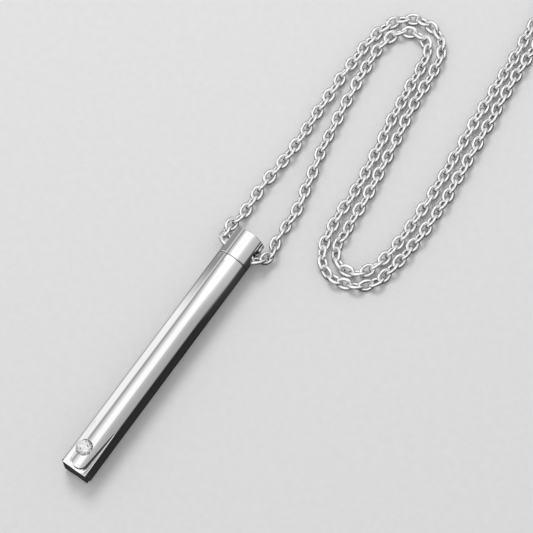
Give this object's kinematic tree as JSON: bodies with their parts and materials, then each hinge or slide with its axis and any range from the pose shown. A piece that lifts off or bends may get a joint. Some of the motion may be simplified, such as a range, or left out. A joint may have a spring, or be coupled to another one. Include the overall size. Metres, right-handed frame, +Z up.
{
  "type": "keepsake urn pendant",
  "caption": "Polished round bar urn with a square end, a flush crystal and a screw cap, hung by the cap's cross hole on a fine cable chain.",
  "frame": {"origin": "on the surface it lies on, under the middle of the whole necklace", "axes": "+Z up; +Y along the bar from its square end to its cap, and on to the clasp"},
  "size_m": [0.0446, 0.1846, 0.005],
  "materials": {
    "polished_steel": "mirror-polished stainless steel",
    "chain_steel": "tumble-polished stainless steel wire",
    "crystal": "clear faceted brilliant"
  },
  "bodies": {
    "necklace": {"cap": "polished_steel", "clasp": "polished_steel", "chain_nape_left": "chain_steel", "chain_back_left": "chain_steel", "chain_out_left": "chain_steel", "chain_turn_left": "chain_steel", "chain_down_left": "chain_steel", "chain_top_left": "chain_steel", "chain_rise_left": "chain_steel", "chain_nape_right": "chain_steel", "chain_back_right": "chain_steel", "chain_out_right": "chain_steel", "chain_turn_right": "chain_steel", "chain_down_right": "chain_steel", "chain_top_right": "chain_steel", "chain_rise_right": "chain_steel", "chain_in_cap": "chain_steel"},
    "urn": {"urn_body": "polished_steel", "crystal": "crystal"}
  },
  "joints": [
    {"name": "urn_draw", "type": "slide", "parent": "necklace", "child": "urn", "axis": [0, -1, 0], "range_m": [0, 0.014]}
  ]
}
